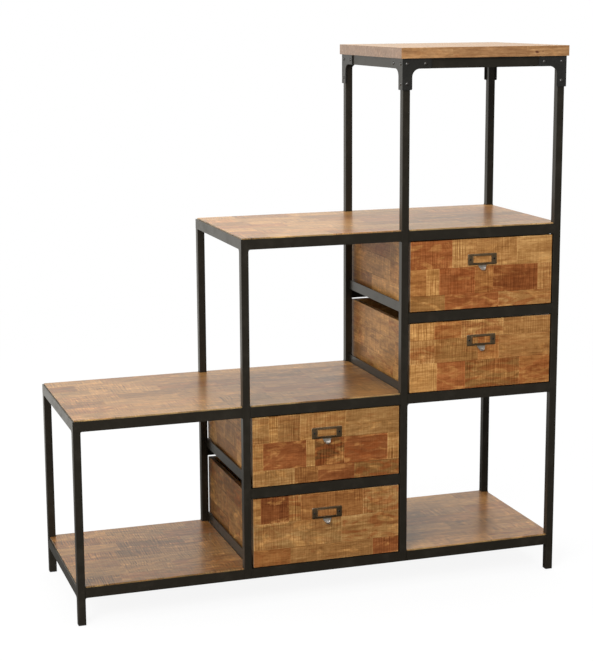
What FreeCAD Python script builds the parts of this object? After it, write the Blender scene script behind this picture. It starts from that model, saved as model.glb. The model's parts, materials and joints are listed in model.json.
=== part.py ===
import FreeCAD, Part
import math
import os

# Stepped shelving unit: a welded frame of square steel tube and angle, block-wood
# boards laid in the frame, and four open drawers that slide forwards on angle runners.
# Millimetres. X runs to the viewer's right, the front faces -Y, Z is up.

# Frame
frame_width = 1270.0
frame_depth = 422.0
post_size = 19.0
post_wall = 1.5
post_corner_radius = 1.5
angle_size = 25.0
angle_wall = 3.0
foot_height = 69.0
left_bay_width = 401.0
middle_bay_width = 395.5
tier_height = 389.0
top_tier_height = 397.0
drawer_rows = 2
right_back_rail_drop = 5.5

# Boards
board_thickness = 25.0
board_gap = 0.8
board_edge_radius = 1.2
slab_thickness = 26.0
slab_overhang = 7.5
slab_edge_radius = 1.5

# Corner brackets and their rivets
bracket_reach = 76.0
bracket_width = 26.0
bracket_thickness = 3.0
bracket_inner_radius = 20.0
bracket_tip_radius = 3.0
rivet_radius = 4.7
rivet_height = 2.8
rivet_inset = 13.0
rivet_end_inset = 15.0

# Foot plugs
plug_flange = 2.5
plug_depth = 12.0
plug_gap = 0.2

# Drawer runners
middle_runner_inset = 16.0
middle_runner_rise = 3.3
right_runner_inset = 9.5
right_runner_rise = -1.5
runner_end_gap = 7.0

# Drawers
front_setback = 2.0
front_thickness = 20.0
front_bottom_gap = 2.0
front_top_gap = 3.0
front_left_gap = 5.5
front_right_gap = 3.5
front_edge_radius = 1.5
side_thickness = 12.0
side_top_gap = 3.4
box_back_gap = 2.0
slide_gap = 0.3
panel_thickness = 6.0
panel_rise = 8.0

# Drawer pulls: a label frame with a finger lip under it
pull_width = 79.0
pull_height = 28.5
pull_thickness = 1.4
pull_corner_radius = 2.5
pull_drop = 52.5
window_width = 50.0
window_height = 17.0
rim_width = 1.6
rim_height = 0.9
lip_radius = 12.0
lip_thickness = 1.6
lip_root_width = 27.0
lip_tip_width = 13.0
lip_tip_radius = 4.0
screw_spacing = 66.0
screw_radius = 2.4
screw_height = 1.1

# One overrun serves all cuts. The shares say how exactly an edge is matched.
overrun = 5.0
match_share = 1e-4
parallel_share = 0.999

# Places worked out from the sizes above
middle_post_x = post_size + left_bay_width
inner_post_x = middle_post_x + post_size + middle_bay_width
right_post_x = frame_width - post_size
back_post_y = frame_depth - post_size
bottom_z = foot_height
step_1_z = bottom_z + angle_size + tier_height
step_2_z = step_1_z + angle_size + tier_height
apron_z = step_2_z + angle_size + top_tier_height
slab_z = apron_z + angle_size
row_height = (tier_height - (drawer_rows - 1) * angle_size) / drawer_rows
row_pitch = row_height + angle_size
front_height = row_height - front_bottom_gap - front_top_gap
side_y = front_setback + front_thickness
side_height = row_height - middle_runner_rise - angle_wall - slide_gap - side_top_gap
pull_front = front_setback - lip_radius - lip_thickness / 2
centre_x = (frame_width + slab_overhang) / 2
centre_y = (pull_front + frame_depth + slab_overhang) / 2


def block(x_range, y_range, z_range):
    """A box between two values on each axis."""
    corner = FreeCAD.Vector(x_range[0], y_range[0], z_range[0])
    return Part.makeBox(
        x_range[1] - x_range[0], y_range[1] - y_range[0], z_range[1] - z_range[0], corner
    )


def save(name, solids):
    """Writes one piece, or a group of like pieces, about the origin under the unit's middle."""
    group = solids if isinstance(solids, list) else [solids]
    shape = group[0] if len(group) == 1 else Part.makeCompound(group)
    shape = shape.copy()
    shape.translate(FreeCAD.Vector(-centre_x, -centre_y, 0))
    shape.exportStep(os.path.join("parts", name + ".step"))


def edges_along(shape, direction):
    """The straight edges that run along one axis."""
    found = []
    for edge in shape.Edges:
        if abs(edge.tangentAt(edge.FirstParameter).dot(direction)) > parallel_share:
            found.append(edge)
    return found


def edges_level_with(shape, axis, value):
    """The edges whose middle lies at a value on the axis, named x, y or z."""
    slack = shape.BoundBox.DiagonalLength * match_share
    return [edge for edge in shape.Edges if abs(getattr(edge.CenterOfMass, axis) - value) < slack]


def edges_through(shape, places):
    """The edges along Y that pass through the places, each given as x and z."""
    slack = shape.BoundBox.DiagonalLength * match_share
    found = []
    for edge in edges_along(shape, FreeCAD.Vector(0, 1, 0)):
        middle = edge.CenterOfMass
        if any(math.hypot(middle.x - x, middle.z - z) < slack for x, z in places):
            found.append(edge)
    return found


def mirrored_in_x(shape, x):
    """The same piece on the other side of the plane at x."""
    return shape.mirror(FreeCAD.Vector(x, 0, 0), FreeCAD.Vector(1, 0, 0))


def mirrored_in_y(shape, y):
    """The same piece on the other side of the plane at y."""
    return shape.mirror(FreeCAD.Vector(0, y, 0), FreeCAD.Vector(0, 1, 0))


# Frame: posts

def post(x, y, z_range):
    """A square tube with rounded corners, its left front corner at x, y."""
    outer = block((x, x + post_size), (y, y + post_size), z_range)
    outer = outer.makeFillet(post_corner_radius, edges_along(outer, FreeCAD.Vector(0, 0, 1)))
    inner = block(
        (x + post_wall, x + post_size - post_wall),
        (y + post_wall, y + post_size - post_wall),
        (z_range[0] - overrun, z_range[1] + overrun),
    )
    return outer.cut(inner)


def make_posts():
    columns = {
        "left": (0, (plug_flange, step_1_z)),
        "middle": (middle_post_x, (bottom_z, step_2_z)),
        "inner": (inner_post_x, (bottom_z, slab_z)),
        "right": (right_post_x, (plug_flange, slab_z)),
    }
    for name, (x, z_range) in columns.items():
        save(name + "_front_post", post(x, 0, z_range))
        save(name + "_back_post", post(x, back_post_y, z_range))


def make_foot_plugs():
    """A flat flange under each outer post, with a plug up inside the tube."""
    plugs = []
    inset = post_wall + plug_gap
    for x in (0, right_post_x):
        for y in (0, back_post_y):
            flange = block((x, x + post_size), (y, y + post_size), (0, plug_flange))
            flange = flange.makeFillet(
                post_corner_radius, edges_along(flange, FreeCAD.Vector(0, 0, 1))
            )
            plug = block(
                (x + inset, x + post_size - inset),
                (y + inset, y + post_size - inset),
                (0, plug_flange + plug_depth),
            )
            plugs.append(flange.fuse(plug).removeSplitter())
    save("foot_plugs", plugs)


# Frame: rails of angle, upright leg outside and level leg inside at the foot

def front_rail(x_range, z, cope=0):
    """A rail along the front, its upright leg in the front plane, its level leg coped at the left."""
    upright = block(x_range, (0, angle_wall), (z, z + angle_size))
    level = block((x_range[0] + cope, x_range[1]), (0, angle_size), (z, z + angle_wall))
    return upright.fuse(level).removeSplitter()


def left_rail(x, y_start, z):
    """A rail along the left, its upright leg at x, cut back to clear the front and back rails."""
    upright = block((x, x + angle_wall), (y_start, frame_depth - y_start), (z, z + angle_size))
    level = block((x, x + angle_size), (angle_size, frame_depth - angle_size), (z, z + angle_wall))
    return upright.fuse(level).removeSplitter()


def right_rail(x, y_start, z):
    """A rail like the left one, its upright leg ending at x."""
    return mirrored_in_x(left_rail(x, y_start, z), x)


def back_of(rails):
    """The same rails along the back."""
    return [mirrored_in_y(rail, frame_depth / 2) for rail in rails]


def turned_over(rail, z):
    """A rail with its level leg at the top, for under the slab and under a drawer."""
    return rail.mirror(FreeCAD.Vector(0, 0, z + angle_size / 2), FreeCAD.Vector(0, 0, 1))


def make_rails():
    left_span = (post_size, middle_post_x)
    middle_span = (middle_post_x + post_size, inner_post_x)
    right_span = (inner_post_x + post_size, right_post_x)

    bottom = [front_rail(span, bottom_z) for span in (left_span, right_span)]
    bottom.append(turned_over(front_rail(middle_span, bottom_z), bottom_z))
    save("bottom_front_rails", bottom)
    save("bottom_back_rails", back_of(bottom))
    save("bottom_side_rails", [
        left_rail(0, post_size, bottom_z),
        right_rail(middle_post_x + post_size, post_size, bottom_z),
        left_rail(inner_post_x, post_size, bottom_z),
        right_rail(frame_width, post_size, bottom_z),
    ])

    # The left end of each step lies over the tops of its posts, with the end rail in the cope.
    step_1 = [front_rail((0, middle_post_x), step_1_z, angle_wall)]
    step_1.append(front_rail(middle_span, step_1_z))
    step_1.append(turned_over(front_rail(right_span, step_1_z), step_1_z))
    save("step_1_front_rails", step_1)
    save("step_1_back_rails", back_of(step_1))
    save("step_1_side_rails", [
        left_rail(0, angle_wall, step_1_z),
        right_rail(frame_width, post_size, step_1_z),
    ])
    save("step_1_board_bearer", board_bearer())

    step_2 = [front_rail((middle_post_x, inner_post_x), step_2_z, angle_wall)]
    step_2 += [front_rail(right_span, step_2_z)]
    save("step_2_front_rails", step_2)
    save("step_2_back_rails", back_of(step_2))
    save("step_2_side_rails", [
        left_rail(middle_post_x, angle_wall, step_2_z),
        right_rail(frame_width, post_size, step_2_z),
    ])

    between = []
    for span, z in ((middle_span, bottom_z + row_pitch), (right_span, step_1_z + row_pitch)):
        between.append(turned_over(front_rail(span, z), z))
    save("drawer_front_rails", between)
    lowered = between[1].copy()
    lowered.translate(FreeCAD.Vector(0, 0, -right_back_rail_drop))
    save("drawer_back_rails", back_of([between[0], lowered]))

    long_aprons = [turned_over(front_rail(right_span, apron_z), apron_z)]
    long_aprons += back_of(long_aprons)
    save("long_aprons", long_aprons)
    save("side_aprons", [
        turned_over(left_rail(inner_post_x, post_size, apron_z), apron_z),
        turned_over(right_rail(frame_width, post_size, apron_z), apron_z),
    ])


def board_bearer():
    """An angle under the right end of the first step's board, its upright leg hanging down."""
    x_end = inner_post_x + post_size
    top = step_1_z + angle_wall
    y_range = (post_size, back_post_y)
    hanging = block((x_end - angle_wall, x_end), y_range, (top - angle_size, top))
    level = block(
        (x_end - angle_size, x_end), (angle_size, frame_depth - angle_size), (step_1_z, top)
    )
    return hanging.fuse(level).removeSplitter()


# Frame: drawer runners

def runner(x, z):
    """An angle between front and back posts, its upright leg at x and its level leg towards +X."""
    y_range = (post_size + runner_end_gap, back_post_y - runner_end_gap)
    upright = block((x, x + angle_wall), (post_size, back_post_y), (z, z + angle_size))
    level = block((x, x + angle_size), y_range, (z, z + angle_wall))
    return upright.fuse(level).removeSplitter()


def runner_pair(post_x, bay_width, inset, z):
    """A runner beside each side of a bay, mirrored about the bay's middle."""
    bay_middle = post_x + post_size + bay_width / 2
    left = runner(post_x + inset, z)
    return [left, mirrored_in_x(left, bay_middle)]


def make_runners():
    right_bay_width = right_post_x - inner_post_x - post_size
    bays = {
        "middle": (middle_post_x, middle_bay_width, middle_runner_inset,
                   bottom_z + angle_size + middle_runner_rise),
        "right": (inner_post_x, right_bay_width, right_runner_inset,
                  step_1_z + angle_size + right_runner_rise),
    }
    for name, (x, width, inset, z) in bays.items():
        pairs = []
        for row in range(drawer_rows):
            pairs += runner_pair(x, width, inset, z + row * row_pitch)
        save(name + "_drawer_runners", pairs)


# Boards and slab

def board(x_range, z, passing_posts):
    """A board lying in its rails, cut round each pair of posts that passes through it."""
    edge = angle_wall + board_gap
    shape = block(x_range, (edge, frame_depth - edge), (z, z + board_thickness))
    top_edges = edges_level_with(shape, "z", z + board_thickness)
    shape = shape.makeFillet(board_edge_radius, top_edges)
    for x in passing_posts:
        for y in (0, back_post_y):
            notch = block(
                (x - board_gap, x + post_size + board_gap),
                (y - board_gap, y + post_size + board_gap),
                (z - overrun, z + board_thickness + overrun),
            )
            shape = shape.cut(notch)
    return shape


def make_boards():
    edge = angle_wall + board_gap
    left_end = middle_post_x + post_size - edge
    step_end = inner_post_x + right_runner_inset - board_gap
    right_end = frame_width - edge
    rise = angle_wall
    save("bottom_left_board", board(
        (edge, left_end), bottom_z + rise, (0, middle_post_x)))
    save("bottom_right_board", board(
        (inner_post_x + edge, right_end), bottom_z + rise, (inner_post_x, right_post_x)))
    save("step_1_board", board(
        (edge, step_end), step_1_z + rise, (middle_post_x, inner_post_x)))
    save("step_2_board", board(
        (middle_post_x + edge, right_end), step_2_z + rise, (inner_post_x, right_post_x)))


def make_slab():
    """The thick top, which stands out past the frame all round."""
    shape = block(
        (inner_post_x - slab_overhang, frame_width + slab_overhang),
        (-slab_overhang, frame_depth + slab_overhang),
        (slab_z, slab_z + slab_thickness),
    )
    save("top_slab", shape.makeFillet(slab_edge_radius, shape.Edges))


# Corner brackets

def bracket_plate():
    """One flat plate of a bracket in the XZ plane, its outer top corner at the origin."""
    reach, width = bracket_reach, bracket_width
    profile = Part.makePolygon([
        FreeCAD.Vector(0, 0, 0),
        FreeCAD.Vector(reach, 0, 0),
        FreeCAD.Vector(reach, 0, -angle_size),
        FreeCAD.Vector(width, 0, -angle_size),
        FreeCAD.Vector(width, 0, -reach),
        FreeCAD.Vector(0, 0, -reach),
        FreeCAD.Vector(0, 0, 0),
    ])
    plate = Part.Face(profile).extrude(FreeCAD.Vector(0, bracket_thickness, 0))
    plate = plate.makeFillet(bracket_inner_radius, edges_through(plate, [(width, -angle_size)]))
    tips = [(reach, -angle_size), (width, -reach)]
    return plate.makeFillet(bracket_tip_radius, edges_through(plate, tips))


def corner_bracket():
    """The left front bracket: two plates bent round the corner of the post."""
    corner = FreeCAD.Vector(inner_post_x - bracket_thickness, -bracket_thickness, slab_z)
    front = bracket_plate()
    front.translate(corner)
    side = bracket_plate()
    side.rotate(FreeCAD.Vector(0, 0, 0), FreeCAD.Vector(0, 0, 1), 90)
    side.translate(corner + FreeCAD.Vector(bracket_thickness, 0, 0))
    return front.fuse(side).removeSplitter()


def rivet_head(centre, outward):
    """A domed head on a plate, its crown pointing outward."""
    sphere_radius = (rivet_radius**2 + rivet_height**2) / (2 * rivet_height)
    ball = Part.makeSphere(sphere_radius, centre - outward * (sphere_radius - rivet_height))
    keep = Part.makeCylinder(rivet_radius + overrun, rivet_height + overrun, centre, outward)
    return ball.common(keep)


def bracket_rivets():
    """Three heads on each plate of the left front bracket: corner, arm and stem."""
    far = bracket_reach - rivet_end_inset
    heads = []
    for along, down in ((rivet_inset, rivet_inset), (far, rivet_inset), (rivet_inset, far)):
        reach = along - bracket_thickness
        front = FreeCAD.Vector(inner_post_x + reach, -bracket_thickness, slab_z - down)
        heads.append(rivet_head(front, FreeCAD.Vector(0, -1, 0)))
        side = FreeCAD.Vector(inner_post_x - bracket_thickness, reach, slab_z - down)
        heads.append(rivet_head(side, FreeCAD.Vector(-1, 0, 0)))
    return heads


def on_four_corners(shapes):
    """The shapes of the left front corner, with their copies on the other three corners."""
    top_middle = (inner_post_x + frame_width) / 2
    front = shapes + [mirrored_in_x(s, top_middle) for s in shapes]
    return front + back_of(front)


def make_brackets():
    save("corner_brackets", on_four_corners([corner_bracket()]))
    save("bracket_rivets", on_four_corners(bracket_rivets()))


# Drawers

def drawer_front(x_range, z):
    """The face, with its front edges eased."""
    shape = block(x_range, (front_setback, side_y), (z, z + front_height))
    return shape.makeFillet(front_edge_radius, edges_level_with(shape, "y", front_setback))


def pull(x, z):
    """A label frame centred at x, z on a drawer's face, with a raised rim and a finger lip."""
    back = front_setback
    face = back - pull_thickness
    rim_face = face - rim_height
    half_width, half_height = pull_width / 2, pull_height / 2
    plate = block((x - half_width, x + half_width), (face, back), (z - half_height, z + half_height))
    plate = plate.makeFillet(pull_corner_radius, edges_along(plate, FreeCAD.Vector(0, 1, 0)))
    half_window = (window_width / 2, window_height / 2)
    rim = block(
        (x - half_window[0] - rim_width, x + half_window[0] + rim_width),
        (rim_face, face),
        (z - half_window[1] - rim_width, z + half_window[1] + rim_width),
    )
    window = block(
        (x - half_window[0], x + half_window[0]),
        (rim_face - overrun, back + overrun),
        (z - half_window[1], z + half_window[1]),
    )
    frame = plate.fuse(rim).cut(window)
    return frame.fuse(finger_lip(x, z - half_height)).removeSplitter()


def finger_lip(x, z):
    """A tongue that drops from the frame's lower edge and curls out towards the hand."""
    outer = lip_radius + lip_thickness / 2
    inner = lip_radius - lip_thickness / 2
    strip = (pull_height - window_height) / 2
    axis = FreeCAD.Vector(x - lip_root_width / 2, front_setback - outer, z)
    along = FreeCAD.Vector(1, 0, 0)
    ring = Part.makeCylinder(outer, lip_root_width, axis, along)
    ring = ring.cut(Part.makeCylinder(inner, lip_root_width, axis, along))
    quarter = block(
        (x - lip_root_width / 2, x + lip_root_width / 2),
        (front_setback - outer, front_setback),
        (z - outer, z),
    )
    root = block(
        (x - lip_root_width / 2, x + lip_root_width / 2),
        (front_setback - lip_thickness, front_setback),
        (z, z + strip / 2),
    )
    return ring.common(quarter).fuse(root).common(lip_outline(x, z, outer))


def lip_outline(x, z, outer):
    """The tongue seen from the front: wide at its root, narrow and rounded at its tip."""
    root, tip = lip_root_width / 2, lip_tip_width / 2
    top = z + pull_height / 2
    profile = Part.makePolygon([
        FreeCAD.Vector(x - root, 0, top),
        FreeCAD.Vector(x + root, 0, top),
        FreeCAD.Vector(x + root, 0, z),
        FreeCAD.Vector(x + tip, 0, z - outer),
        FreeCAD.Vector(x - tip, 0, z - outer),
        FreeCAD.Vector(x - root, 0, z),
        FreeCAD.Vector(x - root, 0, top),
    ])
    shape = Part.Face(profile).extrude(FreeCAD.Vector(0, -outer - overrun - front_setback, 0))
    shape = shape.fuse(Part.Face(profile).extrude(FreeCAD.Vector(0, front_setback + overrun, 0)))
    shape = shape.removeSplitter()
    corners = [e for e in edges_along(shape, FreeCAD.Vector(0, 1, 0))
               if e.CenterOfMass.z < z - lip_radius / 2]
    return shape.makeFillet(lip_tip_radius, corners)


def pull_screws(x, z):
    """Two low domed screw heads on the ends of the label frame."""
    heads = []
    for side in (-1, 1):
        centre = FreeCAD.Vector(x + side * screw_spacing / 2, front_setback - pull_thickness, z)
        sphere_radius = (screw_radius**2 + screw_height**2) / (2 * screw_height)
        outward = FreeCAD.Vector(0, -1, 0)
        ball = Part.makeSphere(sphere_radius, centre - outward * (sphere_radius - screw_height))
        keep = Part.makeCylinder(screw_radius + overrun, screw_height + overrun, centre, outward)
        heads.append(ball.common(keep))
    return heads


def make_drawer(name, post_x, bay_width, opening_z, runner_z):
    """A box of block wood behind a taller front, resting on its two runners."""
    left = post_x + post_size + front_left_gap
    right = post_x + post_size + bay_width - front_right_gap
    front_z = opening_z + front_bottom_gap
    box_z = runner_z + angle_wall + slide_gap
    box_y = (side_y, frame_depth - box_back_gap)
    box_top = box_z + side_height
    inside = (left + side_thickness, right - side_thickness)
    panel_z = box_z + panel_rise
    save(name + "_front", drawer_front((left, right), front_z))
    save(name + "_left_side", block((left, inside[0]), box_y, (box_z, box_top)))
    save(name + "_right_side", block((inside[1], right), box_y, (box_z, box_top)))
    save(name + "_back", block(inside, (box_y[1] - side_thickness, box_y[1]), (box_z, box_top)))
    save(name + "_bottom", block(
        inside, (side_y, box_y[1] - side_thickness), (panel_z, panel_z + panel_thickness)))
    pull_x = (left + right) / 2
    pull_z = front_z + front_height - pull_drop
    save(name + "_pull", pull(pull_x, pull_z))
    save(name + "_pull_screws", pull_screws(pull_x, pull_z))


def make_drawers():
    """The drawers of both bays, numbered from the lowest."""
    right_bay_width = right_post_x - inner_post_x - post_size
    for row in range(drawer_rows):
        number = str(row + 1)
        rise = angle_size + row * row_pitch
        make_drawer(
            "middle_drawer_" + number, middle_post_x, middle_bay_width,
            bottom_z + rise, bottom_z + rise + middle_runner_rise,
        )
        make_drawer(
            "right_drawer_" + number, inner_post_x, right_bay_width,
            step_1_z + rise, step_1_z + rise + right_runner_rise,
        )


os.makedirs("parts", exist_ok=True)
make_posts()
make_foot_plugs()
make_rails()
make_runners()
make_boards()
make_slab()
make_brackets()
make_drawers()
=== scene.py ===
import json
import math
import random

import bmesh
import bpy
from mathutils import Euler, Matrix, Vector


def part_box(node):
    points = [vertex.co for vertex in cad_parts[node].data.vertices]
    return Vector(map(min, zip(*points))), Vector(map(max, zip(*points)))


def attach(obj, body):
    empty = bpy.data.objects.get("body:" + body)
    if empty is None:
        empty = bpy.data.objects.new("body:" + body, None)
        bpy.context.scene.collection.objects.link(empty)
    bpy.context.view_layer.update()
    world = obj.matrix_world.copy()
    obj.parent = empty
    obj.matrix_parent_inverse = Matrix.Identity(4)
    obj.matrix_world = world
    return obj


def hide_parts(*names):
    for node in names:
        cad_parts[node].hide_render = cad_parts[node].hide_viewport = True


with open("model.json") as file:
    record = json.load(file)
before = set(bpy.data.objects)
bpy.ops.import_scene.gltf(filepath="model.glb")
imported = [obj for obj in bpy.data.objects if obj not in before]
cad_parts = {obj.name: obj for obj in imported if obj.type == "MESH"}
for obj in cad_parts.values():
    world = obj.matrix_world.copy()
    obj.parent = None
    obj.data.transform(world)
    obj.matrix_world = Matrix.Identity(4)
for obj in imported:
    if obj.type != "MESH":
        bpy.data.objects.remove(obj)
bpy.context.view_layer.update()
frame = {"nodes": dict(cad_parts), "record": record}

# The looks of a stepped shelving unit: black steel frame, block-wood boards, four drawers.
# Metres. X runs to the viewer's right, the front faces -Y, Z is up.

mm = 0.001
X, Y, Z = 0, 1, 2

# Camera: degrees, and pixels of the photograph. The sensor's size is a free choice.
camera_place = (-1.3006, -3.8904, 1.4672)
camera_yaw = 17.68
camera_pitch = 10.77
camera_roll = -0.424
photo_width = 593
photo_height = 661
focal_pixels = 1618.5
axis_pixel_x = 277.9
axis_pixel_y = 315.5
sensor_size = 36.0

# Staves. The spreads and the least length are shares of a row's mean stave.
board_gap = 0.8 * mm
arris = 0.7 * mm
arris_steps = 3
tight_joint = 0.03 * mm
open_joint = 0.4 * mm
open_joint_share = 0.3
first_stave_spread = (0.3, 1.0)
stave_spread = (0.6, 1.4)
last_stave_least = 0.35
same_place = 1e-7

# How staves differ. Each lies at a random place in a block of wood lot_span wide.
tone_spread = 0.06
saw_mark_choices = (0.3, 0.7, 1.0)
red_streak_choices = (0.0, 0.3, 0.75)
lot_span = 3.0

# Strengths in the wood's looks, from 0 for none
figure_light = 1.3
fibre_light = 0.6
fleck_light = 0.2
seam_darkness = 0.55
pale_share = 0.45
stroke_share = 0.3
end_grain_share = 0.6
saw_ridge_height = 0.09
streak_relief = 0.5
fibre_relief = 0.3
roughness_spread = 0.2
warming_of_red = 0.8

# Knots. Distances along X count for less, so that a knot is longer there, and it fades out
# between its size and knot_fade times its size.
knot_darkness = 0.9
knot_weights = (0.6, 1.0, 1.0)
knot_fade = 1.7

# The pale line round a stave, partly a painted highlight on its eased edge, in mm: how far noise
# moves it, and where its fade starts and ends
rim_raggedness = 3.0
rim_full = 1.8
rim_gone = 3.8

# Saw marks: ridges a step apart that drift by up to so many radians
saw_ridge_step = 6.6 * mm
saw_ridge_drift = 14.0

# Welds
weld_leg = 4.0 * mm
weld_leg_spread = 1.0 * mm
weld_thickness = 3.0 * mm
weld_steps = 6
weld_seed = 7

# Pulls. The plate's rounded outer edge has turned halfway at plate_edge_middle.
window_width = 50.0 * mm
window_height = 17.0 * mm
window_corner = 0.5 * mm
rim_width = 1.6 * mm
rim_height = 0.9 * mm
rim_steps = 6
plate_thickness = 1.4 * mm
plate_corner = 2.5 * mm
plate_edge = 0.5 * mm
plate_edge_middle = 0.3 * plate_edge
plate_corner_steps = 5
lip_radius = 12.0 * mm
lip_thickness = 1.6 * mm
lip_root_width = 24.0 * mm
lip_tip_width = 10.0 * mm
lip_flare_power = 1.3
lip_tip_start = 0.72
lip_spoon = 1.0 * mm
lip_steps = 18
lip_sides = 12
# The pull's brightness: wear and a painted highlight on the upper outer edge, which faces the light
# above, and on the lip, which brightens towards its up-turned tip
plate_wear = 0.05
upper_edge_wear_and_highlight = 0.3
lip_root_wear_and_highlight = 0.2

# Screws
slot_width = 0.9 * mm
slot_depth = 0.8 * mm
screw_rise = 1.1 * mm
screw_edge = 0.15 * mm
screw_rings = 10
screw_spokes = 40
screw_seed = 3

# Studio
white = (1.0, 1.0, 1.0)
warm_white = (1.0, 0.975, 0.91)
floor_paint = (0.45, 0.45, 0.45)
floor_paint_seen = (0.9, 0.9, 0.9)
floor_reach = 40.0


def linear(value):
    """One channel of a display colour, 0 to 255, as linear light."""
    share = value / 255
    return share / 12.92 if share <= 0.04045 else ((share + 0.055) / 1.055) ** 2.4


def colour(red, green, blue):
    return (linear(red), linear(green), linear(blue))


# The staves' tones
tones = {
    "honey": colour(192, 138, 77),
    "straw": colour(184, 134, 77),
    "tan": colour(168, 117, 64),
    "sand": colour(168, 123, 70),
    "amber": colour(164, 105, 53),
    "olive": colour(142, 96, 48),
    "rust": colour(154, 86, 42),
    "russet": colour(132, 68, 28),
    "umber": colour(114, 68, 28),
}
end_grain_tone = colour(120, 99, 78)
knot_tone = colour(84, 38, 18)


# Materials

class Nodes:
    """Short calls that add nodes to a tree and join them."""

    def __init__(self, tree):
        self.tree = tree
        self.tree.nodes.clear()

    def add(self, kind, **settings):
        node = self.tree.nodes.new(kind)
        for key, value in settings.items():
            setattr(node, key, value)
        return node

    def join(self, source, target):
        """Links a socket, or sets a plain number or colour."""
        if isinstance(source, bpy.types.NodeSocket):
            self.tree.links.new(source, target)
        else:
            target.default_value = source

    def place(self):
        """A place in the object's own space."""
        return self.add("ShaderNodeTexCoord").outputs["Object"]

    def parts(self, vector):
        """The three numbers of a vector."""
        node = self.add("ShaderNodeSeparateXYZ")
        self.join(vector, node.inputs[0])
        return node.outputs

    def attribute(self, name):
        return self.add("ShaderNodeAttribute", attribute_name=name)

    def math(self, operation, first, second=0.0, third=0.0):
        node = self.add("ShaderNodeMath", operation=operation)
        for value, socket in zip((first, second, third), node.inputs):
            self.join(value, socket)
        return node.outputs[0]

    def vector(self, operation, first, second):
        node = self.add("ShaderNodeVectorMath", operation=operation)
        self.join(first, node.inputs[0])
        self.join(second, node.inputs[1])
        return node.outputs[0]

    def scaled(self, vector, factor):
        """A vector or colour times one number."""
        node = self.add("ShaderNodeVectorMath", operation="SCALE")
        self.join(vector, node.inputs[0])
        self.join(factor, node.inputs["Scale"])
        return node.outputs[0]

    def length(self, vector):
        node = self.add("ShaderNodeVectorMath", operation="LENGTH")
        self.join(vector, node.inputs[0])
        return node.outputs["Value"]

    def noise(self, vector, scale, detail=2.0, roughness=0.5, distortion=0.0):
        """Noise between 0 and 1. scale is in cells a metre, one number or one for each axis."""
        scales = scale if isinstance(scale, tuple) else (scale,) * 3
        node = self.add("ShaderNodeTexNoise")
        self.join(self.vector("MULTIPLY", vector, scales), node.inputs["Vector"])
        node.inputs["Scale"].default_value = 1.0
        node.inputs["Detail"].default_value = detail
        node.inputs["Roughness"].default_value = roughness
        node.inputs["Distortion"].default_value = distortion
        return node.outputs["Fac"]

    def ramp(self, value, low, high, start=0.0, end=1.0):
        """Goes smoothly from start to end as the value goes from low to high."""
        node = self.add("ShaderNodeMapRange", interpolation_type="SMOOTHSTEP")
        for source, socket in zip((value, low, high, start, end), node.inputs):
            self.join(source, socket)
        return node.outputs["Result"]

    def around_one(self, value, strength):
        """1 plus the value's distance from a half, times the strength."""
        return self.math("MULTIPLY_ADD", self.math("SUBTRACT", value, 0.5), strength, 1.0)

    def warmed(self, light, warmth):
        """The light as a colour that turns redder as it darkens."""
        node = self.add("ShaderNodeCombineXYZ")
        for index, power in enumerate((1 - warming_of_red * warmth, 1.0, 1 + warmth)):
            self.join(self.math("POWER", light, power), node.inputs[index])
        return node.outputs[0]

    def blend(self, factor, first, second):
        """From the first colour to the second, by the sockets that a mix node has for colours."""
        node = self.add("ShaderNodeMix", data_type="RGBA")
        self.join(factor, node.inputs[0])
        for source, socket in ((first, node.inputs[6]), (second, node.inputs[7])):
            self.join((*source, 1.0) if isinstance(source, tuple) else source, socket)
        return node.outputs[2]

    def between(self, factor, first, second):
        """From the first number to the second, by the sockets that a mix node has for numbers."""
        node = self.add("ShaderNodeMix")
        self.join(factor, node.inputs[0])
        self.join(first, node.inputs[2])
        self.join(second, node.inputs[3])
        return node.outputs[0]


class Look(Nodes):
    """A material with one main shader."""

    def __init__(self, name):
        self.material = bpy.data.materials.new(name)
        self.material.use_nodes = True
        super().__init__(self.material.node_tree)
        self.shader = self.add("ShaderNodeBsdfPrincipled")
        self.output = self.add("ShaderNodeOutputMaterial")
        self.tree.links.new(self.shader.outputs["BSDF"], self.output.inputs["Surface"])

    def set(self, **values):
        """Sets or links the shader's own sockets, named with _ for a space."""
        for key, value in values.items():
            self.join(value, self.shader.inputs[key.replace("_", " ")])

    def bump(self, height, strength, distance):
        node = self.add("ShaderNodeBump")
        node.inputs["Strength"].default_value = strength
        node.inputs["Distance"].default_value = distance
        self.join(height, node.inputs["Height"])
        self.join(node.outputs["Normal"], self.shader.inputs["Normal"])


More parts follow.
